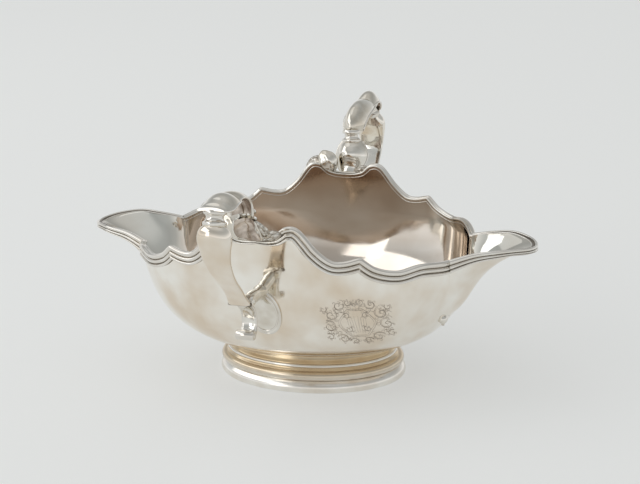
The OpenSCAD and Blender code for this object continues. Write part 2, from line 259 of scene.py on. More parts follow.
def set_out(name, parts, sharp_deg=48):
    """One object from parts of ((vertices in mm, faces), material), closed, smooth, with outward faces.
    A part may also name a second material and the faces that take it."""
    mesh = bpy.data.meshes.new(name)
    bm = bmesh.new()
    for (verts, faces), material, *hollow in parts:
        slot = len(mesh.materials)
        mesh.materials.append(MATERIALS[material])
        taken = set()
        if hollow:
            mesh.materials.append(MATERIALS[hollow[0]])
            taken = hollow[1]
        made = [bm.verts.new(Vector(p) * MM) for p in verts]
        for k, f in enumerate(faces):
            face = bm.faces.new([made[i] for i in f])
            face.material_index = slot + (k in taken)
            face.smooth = True
    bmesh.ops.remove_doubles(bm, verts=bm.verts, dist=2e-6)
    bmesh.ops.dissolve_degenerate(bm, dist=1e-7, edges=bm.edges)
    bmesh.ops.recalc_face_normals(bm, faces=bm.faces)
    bm.to_mesh(mesh)
    bm.free()
    mesh.set_sharp_from_angle(angle=math.radians(sharp_deg))
    obj = bpy.data.objects.new(name, mesh)
    bpy.context.scene.collection.objects.link(obj)
    return obj


def hand_over(obj, slot, *nodes):
    """The piece stands for its CAD nodes and rides with the boat."""
    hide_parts(*nodes)
    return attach(obj, "root")


def piece(name, parts, slot, node, sharp_deg=48):
    """Sets out one object and hands it over for a CAD node."""
    return hand_over(set_out(name, parts, sharp_deg), slot, node)


# ------------ Geometry Nodes


def new_tree(name, numbers, count):
    """A tree that takes Geometry, the named numbers, a named count and a Material, with what its
    input node gives."""
    tree = bpy.data.node_groups.new(name, "GeometryNodeTree")
    tree.interface.new_socket("Geometry", in_out="INPUT", socket_type="NodeSocketGeometry")
    kinds = [("NodeSocketFloat", n) for n in numbers] + [("NodeSocketInt", count)]
    for kind, (label, value) in kinds:
        socket = tree.interface.new_socket(label, in_out="INPUT", socket_type=kind)
        socket.default_value = value
    tree.interface.new_socket("Material", in_out="INPUT", socket_type="NodeSocketMaterial")
    tree.interface.new_socket("Geometry", in_out="OUTPUT", socket_type="NodeSocketGeometry")
    return tree, add_node(tree, "NodeGroupInput").outputs


def sweep(tree, given, path, sides, radius, **more):
    """Sweeps a round bar along the path, smooth and coated in the tree's Material, to its output."""
    bar = add_node(tree, "GeometryNodeCurvePrimitiveCircle", {"Resolution": sides, "Radius": radius})
    inputs = {"Curve": path, "Profile Curve": bar.outputs["Curve"], **more}
    swept = add_node(tree, "GeometryNodeCurveToMesh", inputs)
    smooth = add_node(tree, "GeometryNodeSetShadeSmooth", {"Geometry": swept.outputs["Mesh"]})
    real = add_node(tree, "GeometryNodeRealizeInstances", {"Geometry": smooth.outputs["Geometry"]})
    inputs = {"Geometry": real.outputs["Geometry"], "Material": given["Material"]}
    coated = add_node(tree, "GeometryNodeSetMaterial", inputs)
    add_node(tree, "NodeGroupOutput", {"Geometry": coated.outputs["Geometry"]})
    return tree


def wire_tree():
    """A round wire along each spline of the object's curve. A point's radius is the wire's."""
    tree, given = new_tree("drawn wire", [], ("Sides", 12))
    girth = add_node(tree, "GeometryNodeInputRadius").outputs["Radius"]
    more = {"Scale": girth, "Fill Caps": True}
    return sweep(tree, given, given["Geometry"], given["Sides"], 1.0, **more)


def oval_bead_tree():
    """A round bead that follows an oval at one height."""
    numbers = [("Half length", 0.04), ("Half width", 0.03), ("Height", 0.01), ("Bead radius", 0.001)]
    tree, given = new_tree("oval bead", numbers, ("Around", 192))
    inputs = {"Resolution": given["Around"], "Radius": 1.0}
    ring = add_node(tree, "GeometryNodeCurvePrimitiveCircle", inputs).outputs["Curve"]
    inputs = {"X": given["Half length"], "Y": given["Half width"], "Z": 1.0}
    stretch = add_node(tree, "ShaderNodeCombineXYZ", inputs).outputs[0]
    lift = add_node(tree, "ShaderNodeCombineXYZ", {"Z": given["Height"]}).outputs[0]
    inputs = {"Geometry": ring, "Scale": stretch, "Translation": lift}
    path = add_node(tree, "GeometryNodeTransform", inputs).outputs["Geometry"]
    return sweep(tree, given, path, 20, given["Bead radius"])


def tree_named(name, build):
    return bpy.data.node_groups.get(name) or build()


def through_nodes(obj, tree, inputs):
    """The plain mesh that the tree makes of obj, which is then removed."""
    modifier = obj.modifiers.new(tree.name, "NODES")
    modifier.node_group = tree
    for item in tree.interface.items_tree:
        if item.in_out == "INPUT" and item.name in inputs:
            modifier[item.identifier] = inputs[item.name]
    bpy.context.view_layer.update()
    evaluated = obj.evaluated_get(bpy.context.evaluated_depsgraph_get())
    mesh = bpy.data.meshes.new_from_object(evaluated)
    obj.modifiers.remove(modifier)
    bpy.data.objects.remove(obj)
    return mesh


def wires(splines, material, sides=14):
    """(vertices, faces) in mm of round wires along splines, each a list of (point, radius)."""
    curve = bpy.data.curves.new("wire path", "CURVE")
    curve.dimensions = "3D"
    for points in splines:
        spline = curve.splines.new("POLY")
        spline.points.add(len(points) - 1)
        for target, (p, r) in zip(spline.points, points):
            target.co = (*(Vector(p) * MM), 1)
            target.radius = r * MM
    path = bpy.data.objects.new("wire path", curve)
    bpy.context.scene.collection.objects.link(path)
    inputs = {"Sides": sides, "Material": MATERIALS[material]}
    mesh = through_nodes(path, tree_named("drawn wire", wire_tree), inputs)
    shape = [v.co / MM for v in mesh.vertices], [tuple(f.vertices) for f in mesh.polygons]
    bpy.data.meshes.remove(mesh)
    return shape


# ------------ materials


def linear(hex_colour):
    """An sRGB hex value as the linear colour that a shader takes."""
    out = []
    for i in (0, 2, 4):
        c = int(hex_colour[i : i + 2], 16) / 255
        out.append(c / 12.92 if c <= 0.04045 else ((c + 0.055) / 1.055) ** 2.4)
    return (*out, 1.0)


def add_node(tree, kind, inputs=None, **settings):
    """Adds a node; each input is a value, or the socket it is linked from."""
    node = tree.nodes.new(kind)
    for name, value in settings.items():
        setattr(node, name, value)
    for name, value in (inputs or {}).items():
        if isinstance(value, bpy.types.NodeSocket):
            tree.links.new(value, node.inputs[name])
        else:
            node.inputs[name].default_value = value
    return node


def new_surface(name):
    """A material with its Principled shader and Object coordinates."""
    material = bpy.data.materials.new(name)
    material.use_nodes = True
    tree = material.node_tree
    tree.nodes.clear()
    shader = add_node(tree, "ShaderNodeBsdfPrincipled")
    out = add_node(tree, "ShaderNodeOutputMaterial")
    tree.links.new(shader.outputs["BSDF"], out.inputs["Surface"])
    place = add_node(tree, "ShaderNodeTexCoord").outputs["Object"]
    MATERIALS[name] = material
    return tree, shader, place


def noise(tree, place, size_mm, detail=3.0):
    """Cloudy noise whose clouds are size_mm across."""
    inputs = {"Vector": place, "Scale": 1000 / size_mm, "Detail": detail, "Roughness": 0.5}
    return add_node(tree, "ShaderNodeTexNoise", inputs).outputs["Fac"]


def ramp(tree, fac, stops):
    """Colours between stops of (position, hex)."""
    node = add_node(tree, "ShaderNodeValToRGB", {"Fac": fac})
    elements = node.color_ramp.elements
    while len(elements) < len(stops):
        elements.new(0.5)
    for element, (position, colour) in zip(elements, stops):
        element.position = position
        element.color = linear(colour)
    return node.outputs["Color"]


def ranged(tree, value, start, end, low=0.0, high=1.0, **settings):
    """A value between start and end laid out from low to high."""
    inputs = {"Value": value, "From Min": start, "From Max": end, "To Min": low, "To Max": high}
    return add_node(tree, "ShaderNodeMapRange", inputs, **settings).outputs["Result"]


def spread(tree, fac, low, high):
    """A noise's middle range laid out from low to high."""
    return ranged(tree, fac, 0.3, 0.7, low, high)


def mixed(tree, share, first, second, **settings):
    """Two colours mixed by share."""
    inputs = {0: share, 6: first, 7: second}
    return add_node(tree, "ShaderNodeMix", inputs, data_type="RGBA", **settings).outputs[2]


def squashed(tree, place, share):
    """Coordinates in which a pattern is drawn out level when share is under 1."""
    inputs = {"Vector": place, "Scale": (share, share, 1.0)}
    return add_node(tree, "ShaderNodeMapping", inputs).outputs[0]


def dents(tree, layers):
    """Bumps on bumps: layers of (height, depth in mm, strength). Returns the last normal."""
    normal = None
    for height, depth, strength in layers:
        inputs = {"Height": height, "Distance": depth * MM, "Strength": strength}
        if normal is not None:
            inputs["Normal"] = normal
        normal = add_node(tree, "ShaderNodeBump", inputs).outputs["Normal"]
    return normal


def metal(tree, shader, colour, roughness, normal):
    """Plugs a bare metal's colour, roughness and normal into its shader."""
    for name, source in (("Base Color", colour), ("Roughness", roughness), ("Normal", normal)):
        tree.links.new(source, shader.inputs[name])
    shader.inputs["Metallic"].default_value = 1.0


def silver(name, clean, toned, patch_mm, rough, wave, level=1.0):
    """Polished sterling silver: clean and toned colours in soft patches, a hand-worked wave of (size,
    depth) that bends reflections, drawn out level where level is under 1, and fine old scratches."""
    tree, shader, place = new_surface(name)
    colour = ramp(tree, noise(tree, place, patch_mm), [(0.35, clean), (0.68, toned)])
    hairlines = noise(tree, squashed(tree, place, 0.25), 0.5, 2.0)
    roughness = spread(tree, noise(tree, place, 6, 4.0), *rough)
    waves = noise(tree, squashed(tree, place, level), wave[0], 1.0)
    metal(tree, shader, colour, roughness, dents(tree, [(waves, wave[1], 1.0), (hairlines, 0.002, 0.4)]))
    return tree, shader, place


def make_materials(finish):
    # Raised silver, hammered and planished, then polished for generations: soft warm white, faintly pink
    silver("raised silver, outside", finish.clean_hex, "E2D4C1", 24, (0.05, 0.12), (26, 0.05))
    inside_with_painted_bands()
    # Drawn reeded wire, burnished bright on its crests
    silver("drawn silver wire", "E9E6E0", "DED8CF", 14, (0.05, 0.1), (9, 0.01))
    # Dark grey-brown silver for the strip that shows between and under the reeds, and for the strap's
    # joint bar
    silver("tarnished groove", "8F867B", "6F665B", 5, (0.3, 0.45), (5, 0.01))
    # Cast silver, filed and burnished: a little greener and greyer than the raised sheet
    silver("cast silver, burnished", "ECE9E2", "D2CABC", 9, (0.04, 0.12), (9, 0.01))
    # The hollow back of a casting, left rough from the mould; its dark is partly where nothing rubs it
    # and partly painted shade, for faces that stand in shade under the cap and the hood
    silver("cast silver, rough hollow", "DCD0C5", "8E7F72", 4, (0.12, 0.3), (3, 0.08))
    # Engraved lines: dull fine wires that stand for a graver's cuts
    silver("engraved cut", "CFC6BA", "A69B8F", 3, (0.35, 0.5), (4, 0.01))
    chased_silver()
    spun_silver()


def inside_with_painted_bands():
    """The same sheet inside, coloured by height: level light and dark bands that are painted reflections
    of the soft lamps, a brown band just under the side rims, and a plainer grey on the lips."""
    tree, shader, place = silver(
        "raised silver, inside", "FFFFFF", "EDE6E0", 30, (0.04, 0.1), (9, 0.028), 0.16)
    split = add_node(tree, "ShaderNodeSeparateXYZ", {"Vector": place})
    inputs = {0: noise(tree, place, 38, 2.0), 1: 0.02, 2: -0.01}
    drift = add_node(tree, "ShaderNodeMath", inputs, operation="MULTIPLY_ADD").outputs["Value"]
    inputs = {0: split.outputs["Z"], 1: drift}
    height = add_node(tree, "ShaderNodeMath", inputs, operation="ADD").outputs["Value"]
    # Painted reflections: light and dark level bands by height, with a brown band under the side rims
    painted_reflection_bands = ramp(
        tree,
        ranged(tree, height, 0.01, 0.09),
        [(0.1, "F2EFEB"), (0.3, "EBE6DF"), (0.42, "E3DBD1"), (0.47, "EAE3DA"), (0.52, "E2D9CE"),
         (0.58, "E7DFD5"), (0.7, "DED1C3"), (0.8, "CBB8A5"), (0.85, "B09A86"), (0.88, "CDBFB2"),
         (0.92, "E6DDD5")],
    )
    along = add_node(tree, "ShaderNodeMath", {0: split.outputs["X"]}, operation="ABSOLUTE")
    lip = ranged(tree, along.outputs["Value"], 0.066, 0.074, interpolation_type="SMOOTHSTEP")
    lips_plain = mixed(tree, lip, painted_reflection_bands, linear("E3E2DB"))
    patches = shader.inputs["Base Color"].links[0].from_socket
    colour = mixed(tree, 1.0, lips_plain, patches, blend_type="MULTIPLY")
    tree.links.new(colour, shader.inputs["Base Color"])


def chased_silver():
    """Cast leaves whose ground was matted with a round punch about 1 mm wide, dark in its dimples."""
    tree, shader, place = new_surface("cast silver, matted")
    inputs = {"Vector": place, "Scale": 1000 / 1.3, "Randomness": 0.8}
    punch = add_node(tree, "ShaderNodeTexVoronoi", inputs, feature="SMOOTH_F1").outputs["Distance"]
    colour = ramp(tree, punch, [(0.15, "E2DFD8"), (0.6, "A59C90"), (0.85, "5A5148")])
    roughness = spread(tree, noise(tree, place, 2.5), 0.14, 0.34)
    normal = dents(tree, [(noise(tree, place, 3.2, 2.0), 0.5, 0.7), (punch, 0.25, 0.5)])
    metal(tree, shader, colour, roughness, normal)


def spun_silver():
    """The foot's spun silver, coloured by height with painted shade: golden brown in the hollow neck and
    on the bead's top, which stand in the belly's shade, and bright below."""
    tree, shader, place = new_surface("spun silver, toned neck")
    height = add_node(tree, "ShaderNodeSeparateXYZ", {"Vector": place}).outputs["Z"]
    # Painted shade: golden brown up the neck and on the bead's top, where the belly shades them, bright
    # lower down
    painted_shade_by_height = ramp(
        tree,
        ranged(tree, height, 0.0, 0.02),
        [(0.2, "F6F4EF"), (0.33, "E9E4DB"), (0.43, "DBCDB6"), (0.56, "DAC8A9"), (0.72, "D6C5A8"),
         (0.92, "AD9B86")],
    )
    patches = ramp(tree, noise(tree, place, 12), [(0.3, "FFFFFF"), (0.75, "D9CBBB")])
    colour = mixed(tree, 0.55, painted_shade_by_height, patches, blend_type="MULTIPLY")
    roughness = spread(tree, noise(tree, place, 5), 0.12, 0.24)
    metal(tree, shader, colour, roughness, dents(tree, [(noise(tree, place, 12), 0.03, 1.0)]))


# ------------ sizes and finishes the user may change


def metres(name, description, default):
    return bpy.props.FloatProperty(name=name, description=description, default=default, unit="LENGTH")


# How much shorter than the CAD the boat is over its lips, since the moulding thins at their tips
TIP_TRIM = 0.0035


class BowlSizes(bpy.types.PropertyGroup):
    length: metres("Length over the lips", "From lip tip to lip tip", CAD_HIGH.x - CAD_LOW.x - TIP_TRIM)
    half_length: metres("Bowl half length", "Oval at the rim, without the lips", 0.0737)
    half_width: metres("Bowl half width", "Oval at the rim", 0.0559)
    floor_height: metres("Floor height", "Lowest point of the bowl's underside", 0.0135)
    belly: bpy.props.FloatProperty(
        name="Belly", description="Roundness of the belly, higher is fuller", default=3.0
    )
    wall: metres("Wall", "Thickness of the raised silver", 0.0012)


class FootSizes(bpy.types.PropertyGroup):
    half_length: metres("Foot half length", "Oval at the groove over the base band", 0.0423)
    half_width: metres("Foot half width", "Oval at the groove over the base band", 0.0294)
    band_height: metres("Base band height", "Height of the base band", 0.0052)
    bead: metres("Bead radius", "Radius of the bead over the base band", 0.0022)


class HandleSizes(bpy.types.PropertyGroup):
    front_cap: metres("Front cap height", "Top of the front handle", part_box("cap_leaf_front")[1].z)
    back_cap: metres("Back cap height", "Top of the back handle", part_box("cap_leaf_back")[1].z)
    strap_half: metres("Strap half width", "Half width of the strap at its bulb", 0.0072)
    thumb_half: metres("Thumb roll half length", "Half length of the rolled end", 0.0042)


class Finish(bpy.types.PropertyGroup):
    clean_hex: bpy.props.StringProperty(
        name="Clean silver", description="sRGB hex colour of the freshly rubbed metal", default="F7F4ED"
    )
    floor_hex: bpy.props.StringProperty(
        name="Floor", description="sRGB hex colour of the pale floor", default="BFC0BF"
    )


GROUPS = {
    "boat_bowl": BowlSizes,
    "boat_foot": FootSizes,
    "boat_handles": HandleSizes,
    "boat_finish": Finish,
}


# ------------ operators


class SAUCEBOAT_OT_finishes(bpy.types.Operator):
    """Mixes every silver finish"""

    bl_idname = "sauceboat.finishes"
    bl_label = "Silver finishes"

    def execute(self, context):
        make_materials(context.scene.boat_finish)
        return {"FINISHED"}


class SAUCEBOAT_OT_bowl(bpy.types.Operator):
    """Raises the bowl with its two lips"""

    bl_idname = "sauceboat.bowl"
    bl_label = "Bowl"

    def execute(self, context):
        shape = BowlShape(context.scene.boat_bowl)
        quarter = [i / 36 for i in range(36)] + [1 + i / 28 for i in range(28)]
        quarter += [2 + i / 30 for i in range(31)]
        flip = quarter[::-1]
        columns = (
            [(u, 1, -1) for u in quarter[:-1]]
            + [(u, 1, 1) for u in flip[:-1]]
            + [(u, -1, 1) for u in quarter[:-1]]
            + [(u, -1, -1) for u in flip[:-1]]
        )
        rows = 52

        def ring(j, inset):
            points = []
            for u, sx, sy in columns:
                low = shape.floor + inset
                z = mix(low, shape.rim_z(u), (j / rows) ** 1.5)
                p = shape.on_wall(u, z, inset)
                points.append(Vector((sx * p.x, sy * p.y, p.z)))
            return points

        outside = [ring(j, 0.0) for j in range(1, rows + 1)]
        inside = [ring(j, shape.wall) for j in range(rows, 0, -1)]
        verts, faces = loft(outside + inside, "open")
        n = len(columns)
        poles = len(verts)
        verts += [Vector((0, 0, shape.floor)), Vector((0, 0, shape.floor + shape.wall))]
        faces += [(poles, (i + 1) % n, i) for i in range(n)]
        last = (2 * rows - 1) * n
        faces += [(poles + 1, last + i, last + (i + 1) % n) for i in range(n)]
        bowl = set_out("bowl_raised", [((verts, faces), "raised silver, outside")], sharp_deg=60)
        bowl.data.materials.append(MATERIALS["raised silver, inside"])
        for f in bowl.data.polygons:
            x, y, z = f.center / MM
            inward = f.normal.dot(Vector((x, y, (z - 50) * 0.9))) < 0
            f.material_index = int(inward and z > shape.floor + shape.wall * 0.6)
        # Outside, the creases are folded sharp down to their drops
        creased = {i for i, c in enumerate(columns) if c[0] == 2}
        for edge in bowl.data.edges:
            a, b = edge.vertices
            along = a % n == b % n and a % n in creased and a < rows * n
            if along and bowl.data.vertices[a].co.z > CREASE_FOOT_Z * MM:
                edge.use_edge_sharp = True
        hand_over(bowl, "raised_silver", "bowl")
        return {"FINISHED"}


def rim_at(shape, station, out, down):
    """A point out from the rim's wall and down from its edge, at a station (u, sx, sy)."""
    u, sx, sy = station
    point, outward, up = shape.rim_frame(u)
    p = point + outward * out - up * down
    return Vector((sx * p.x, sy * p.y, p.z))


# Each reed: height below the edge and radius, then the same where the moulding thins to a lip's tip
REEDS = [(0.3, 1.2, 0, 0.66), (2.5, 0.85, 1.15, 0.34), (4.3, 0.65, 1.8, 0.18)]
# The bead and the fine line inside the edge: height below the edge and radius
INNER_REEDS = [(0.1, 0.55), (1.6, 0.22)]


def moulding(name, shape, run, node, thinned):
    """Reeded wire along the rim on a backing strip that hooks over the wall's edge. thinned gives, for
    a station's u, how far the moulding has thinned."""
    splines = []
    for down, r, far_down, far_r in REEDS:
        spline = []
        for s in run:
            t = thinned(s[0])
            girth = mix(r, far_r, t)
            spline.append((rim_at(shape, s, shape.reed_out - girth, mix(down, far_down, t)), girth))
        splines.append(spline)
    for down, r in INNER_REEDS:
        splines.append(
            [(rim_at(shape, s, -shape.wall, down), r * mix(1, 0.5, thinned(s[0]))) for s in run])
    rings = []
    for s in run:
        depth = mix(REEDS[-1][0], REEDS[-1][2], thinned(s[0])) + 0.45
        strip = [(-shape.wall * 0.9, 0.4), (-shape.wall * 0.9, -0.1), (-shape.wall * 0.5, -0.35),
                 (0.3, -0.35), (0.55, 0.2), (0.55, depth), (-0.02, depth + 0.25), (-0.02, 0.4)]
        rings.append([rim_at(shape, s, out, down) for out, down in strip])
    reeds = wires(splines, "drawn silver wire")
    parts = [(reeds, "drawn silver wire"), (loft(rings), "tarnished groove")]
    return piece(name, parts, "rim_wire", node)


class SAUCEBOAT_OT_rim(bpy.types.Operator):
    """Runs the reeded moulding round the rim, from each handle's ear to the crease"""

    bl_idname = "sauceboat.rim"
    bl_label = "Rim moulding"

    def execute(self, context):
        shape = BowlShape(context.scene.boat_bowl)
        for side, sy in (("front", -1), ("back", 1)):
            for hand, sx in (("left", -1), ("right", 1)):
                run = [(mix(EAR_U, 2, i / 110), sx, sy) for i in range(111)]
                node = f"rim_moulding_{side}_{hand}"
                moulding(f"reeds_{side}_{hand}", shape, run, node, lambda u: 0)
            run = [(EAR_U * abs(1 - i / 24), 1 if i < 24 else -1, sy) for i in range(49)]
            node = f"rim_bridge_{side}"
            moulding(f"saddle_reeds_{side}", shape, run, node, lambda u: 1 - u / EAR_U)
        return {"FINISHED"}


def lip_thinning(u):
    """How far the moulding has thinned at u: quickly after the crease, wholly before the tip."""
    return clamp(1.8 * (u - 2)) ** 0.7


class SAUCEBOAT_OT_lips(bpy.types.Operator):
    """Runs the thinning reeded wire round each lip"""

    bl_idname = "sauceboat.lips"
    bl_label = "Lip wires"

    def execute(self, context):
        shape = BowlShape(context.scene.boat_bowl)
        for hand, sx in (("left", -1), ("right", 1)):
            run = [(2 + i / 60, sx, -1) for i in range(61)]
            run += [(3 - i / 60, sx, 1) for i in range(1, 61)]
            moulding(f"lip_reeds_{hand}", shape, run, f"lip_wire_{hand}", lip_thinning)
        return {"FINISHED"}


class SAUCEBOAT_OT_drops(bpy.types.Operator):
    """Hangs a small cast drop where each crease runs out"""

    bl_idname = "sauceboat.drops"
    bl_label = "Crease drops"

    def execute(self, context):
        shape = BowlShape(context.scene.boat_bowl)
        foot = shape.on_wall(2, CREASE_FOOT_Z)
        # A ball over a smaller bud, with a fillet above
        profile = [(0, -3.1), (0.5, -3.0), (0.8, -2.6), (0.65, -2.2), (1.3, -1.7), (1.95, -0.8),
                   (2.1, 0.1), (1.8, 1.1), (1.15, 1.8), (1.2, 2.1), (1.0, 2.5), (0.45, 3.0), (0, 3.15)]
        spots = [(sx * foot.x, sy * foot.y, CREASE_FOOT_Z) for sx in (-1, 1) for sy in (-1, 1)]
        parts = [(placed(turned(profile, 36), Matrix.Translation(spot)), "cast silver, burnished")
                 for spot in spots]
        piece("crease_drops_cast", parts, "cast_silver", "crease_drops")
        return {"FINISHED"}


def oval(sizes, i, around, offset):
    """A point of the foot's oval, moved out by offset, in mm."""
    a = 2 * math.pi * i / around
    half_x, half_y = sizes.half_length / MM, sizes.half_width / MM
    n = Vector((half_y * math.cos(a), half_x * math.sin(a), 0)).normalized()
    return Vector((half_x * math.cos(a), half_y * math.sin(a), 0)) + n * offset


def rounded(profile, steps=4):
    """A profile of (offset, height) points made smooth."""
    lengths = [0.0]
    for p, q in zip(profile, profile[1:]):
        lengths.append(lengths[-1] + math.dist(p, q))
    stations = [(s, *p) for s, p in zip(lengths, profile)]
    n = (len(profile) - 1) * steps
    spots = [lengths[-1] * i / n for i in range(n + 1)]
    return [(through(stations, s, 1), through(stations, s, 2)) for s in spots]


class SAUCEBOAT_OT_foot(bpy.types.Operator):
    """Spins the foot: skirt, ridge wire, bead wire and base band"""

    bl_idname = "sauceboat.foot"
    bl_label = "Foot"

    def execute(self, context):
        shape = BowlShape(context.scene.boat_bowl)
        foot = context.scene.boat_foot
        around = 200
        band = foot.band_height / MM
        # The skirt's (offset, height) points. Above shoulder it reaches up to the bowl's underside.
        shoulder, top = 15.8, 18.0
        skirt = rounded([(-4.6, top), (-4.9, shoulder), (-4.2, 13.6), (-3.1, 12.2), (-2.3, 10.4),
                         (-1.3, 9.2), (-1.2, band)])
        rings = []
        for i in range(around):
            out, back = [], []
            for offset, z in skirt:
                edge = oval(foot, i, around, offset)
                inner = oval(foot, i, around, offset - 1.1)
                share = clamp((z - shoulder) / 2.2)
                height = mix(z, shape.underside(edge.x, edge.y) + 0.3, share)
                out.append(Vector((edge.x, edge.y, height)))
                back.append(Vector((inner.x, inner.y, height)))
            rings.append(out + back[::-1])
        # The neck is golden brown with the spun silver's painted shade
        neck = [(loft(rings, "joined"), "spun silver, toned neck")]
        piece("foot_neck", neck, "foot_silver", "foot_skirt")

        radius = foot.bead / MM
        # The bead takes the spun silver, whose painted shade browns its upper half
        for name, node, offset, height, bead, material in (
            ("foot_ridge", "foot_ridge_wire", -2.9, 11.3, 0.85, "drawn silver wire"),
            ("foot_bead", "foot_bead_wire", -1.3, band + radius, radius, "spun silver, toned neck"),
        ):
            blank = bpy.data.objects.new(name, bpy.data.meshes.new(name))
            context.scene.collection.objects.link(blank)
            inputs = {
                "Half length": foot.half_length + offset * MM,
                "Half width": foot.half_width + offset * MM,
                "Height": height * MM,
                "Bead radius": bead * MM,
                "Around": around,
                "Material": MATERIALS[material],
            }
            mesh = through_nodes(blank, tree_named("oval bead", oval_bead_tree), inputs)
            obj = bpy.data.objects.new(name + "_ring", mesh)
            context.scene.collection.objects.link(obj)
            hand_over(obj, "foot_silver", node)

        torus = [(0.9, 0.12), (1.35, 0.8), (1.5, 1.9), (1.2, 3.3), (0.5, 4.3), (-0.3, band)]
        section = [(-2.2, 0), (0.6, 0), *rounded(torus, 3), (-2.2, band)]
        rings = [
            [oval(foot, i, around, o) + Vector((0, 0, z)) for o, z in section] for i in range(around)
        ]
        base = [(loft(rings, "joined"), "spun silver, toned neck")]
        piece("foot_band", base, "foot_silver", "foot_base_band", 55)
        return {"FINISHED"}


# ------------ handles


def at_handle(side):
    return Matrix.Rotation(math.pi if side == "front" else 0, 4, "Z")


def leaned(m, y, z, degrees):
    """An upright lathe axis at a place in the handle's plane, leaned by degrees."""
    return m @ Matrix.Translation((0, y, z)) @ Matrix.Rotation(math.radians(degrees), 4, "X")


def crosswise(m, y, z):
    """A lathe axis across the handle's plane."""
    return m @ Matrix.Translation((0, y, z)) @ Matrix.Rotation(math.pi / 2, 4, "Y")


def ribbon(stations, sides=40, square=(0.8, 0.8), face=(1.0, 1.0)):
    """A ribbon in the handle's plane. Stations are (distance out, height, half width, half thickness,
    crown): crown bows the whole section outward. square is 1 for an oval section, less for a boxy one,
    at the start and further on. face is each face's share of the thickness, outer then inner. Returns
    its shape and its two edges."""
    run = [0.0]
    for p, q in zip(stations, stations[1:]):
        run.append(run[-1] + math.dist(p[:2], q[:2]))
    st = [(s, *p) for s, p in zip(run, stations)]
    n = (len(st) - 1) * 8
    rings, left, right = [], [], []
    for i in range(n + 1):
        s = run[-1] * i / n
        ds = run[-1] / n / 4
        a, b = max(0, s - ds), min(run[-1], s + ds)
        t = Vector([through(st, b, k) - through(st, a, k) for k in (1, 2)]).normalized()
        y, z, half, thick, crown = (through(st, s, k) for k in range(1, 6))
        ring = []
        power = mix(*square, clamp(2.2 * i / n))
        for k in range(sides):
            angle = 2 * math.pi * k / sides
            c, d = math.cos(angle), math.sin(angle)
            across = math.copysign(abs(c) ** power, c)
            h = math.copysign(abs(d) ** power, d) * thick * (face[0] if d > 0 else face[1])
            h += crown * (1 - across * across)
            ring.append(Vector((across * half, y - t.y * h, z + t.x * h)))
        rings.append(ring)
        right.append(ring[0])
        left.append(ring[sides // 2])
    return loft(rings), (left, right)


def cap_of(sizes, side):
    return (sizes.front_cap if side == "front" else sizes.back_cap) / MM


def bent_leaf(points, veins=5):
    """A cast leaf along points of (position, half width, half thickness), with raised veins."""
    lengths = [0.0]
    for p, q in zip(points, points[1:]):
        lengths.append(lengths[-1] + (Vector(q[0]) - Vector(p[0])).length)
    st = [(s, *p[0], p[1], p[2]) for s, p in zip(lengths, points)]
    n, sides = (len(st) - 1) * 8, 36
    rings = []
    for i in range(n + 1):
        s = lengths[-1] * i / n
        here = Vector([through(st, s, k) for k in (1, 2, 3)])
        near = lengths[-1] / n / 4
        ahead = Vector([through(st, min(lengths[-1], s + near), k) for k in (1, 2, 3)])
        behind = Vector([through(st, max(0, s - near), k) for k in (1, 2, 3)])
        depth = Vector((0, 1, 0))
        up = depth.cross((ahead - behind).normalized()).normalized()
        half, thick = through(st, s, 4), through(st, s, 5)
        ring = []
        for k in range(sides):
            a = 2 * math.pi * k / sides
            ripple = 1 + 0.09 * math.cos(veins * a * 2) * math.sin(math.pi * i / n)
            wide, deep = math.cos(a) * half * ripple, math.sin(a) * thick * ripple
            ring.append(here + up * wide + depth * deep)
        rings.append(ring)
    return loft(rings)


class SAUCEBOAT_OT_roots(bpy.types.Operator):
    """Casts the leaves that root each handle on the rim"""

    bl_idname = "sauceboat.roots"
    bl_label = "Handle roots"

    def execute(self, context):
        for side in ("front", "back"):
            flip = Matrix.Diagonal((1, -1 if side == "front" else 1, 1, 1))
            lobe = bent_leaf(
                [((-7.2, 57, 78.4), 1.4, 1.2), ((-8.2, 57, 80.6), 3.8, 2.8), ((-9.8, 57, 84), 4.9, 3.7),
                 ((-11.2, 57, 87.2), 3.7, 2.8), ((-11.8, 57, 88.9), 1.5, 1.2),
                 ((-11.9, 57, 89.3), 0.3, 0.3)], 3)
            leaf = bent_leaf(
                [((-11, 57, 84.4), 1.8, 1.8), ((-13.4, 57, 83.6), 3.2, 2.4),
                 ((-16.4, 57, 82.4), 3.2, 2.3), ((-19.2, 57, 80.9), 2.1, 1.7),
                 ((-21.2, 57, 79.4), 0.5, 0.5)], 4)
            low = bent_leaf(
                [((4.4, 57.2, 79.4), 1.2, 1.2), ((7, 57.2, 80.1), 2, 1.9), ((9.6, 57.2, 80.7), 1.8, 1.6),
                 ((11.7, 57.2, 81.2), 0.5, 0.5)], 3)
            parts = [
                (placed(lobe, flip), "cast silver, burnished"),
                (placed(leaf, flip), "cast silver, matted"),
                (placed(low, flip), "cast silver, matted"),
            ]
            piece(f"root_foliage_{side}", parts, "cast_silver", f"root_leaves_{side}", 70)
        return {"FINISHED"}


def edged(shape_and_edges, radius, matrix, painted_shade_side=0):
    """A ribbon with a fine wire along both edges, as parts for set_out. Its shaded side, 1 outward or
    -1 inward, keeps the rough skin of the casting, darkened there as painted shade."""
    shape, edges = shape_and_edges
    sides = len(shape[0]) // len(edges[0])
    ends = (0, len(edges[0]) - 1)
    splines = [
        [(matrix @ p, radius * (0.35 if i in ends else 1)) for i, p in enumerate(edge)] for edge in edges
    ]
    cast = [placed(shape, matrix), "cast silver, burnished"]
    if painted_shade_side:
        inner = {
            k for k in range(len(shape[1]) - 2)
            if painted_shade_side * math.sin(2 * math.pi * (k % sides + 0.5) / sides) > 0
        }
        cast += ["cast silver, rough hollow", inner]
    return [tuple(cast), (wires(splines, "drawn silver wire", 8), "drawn silver wire")]


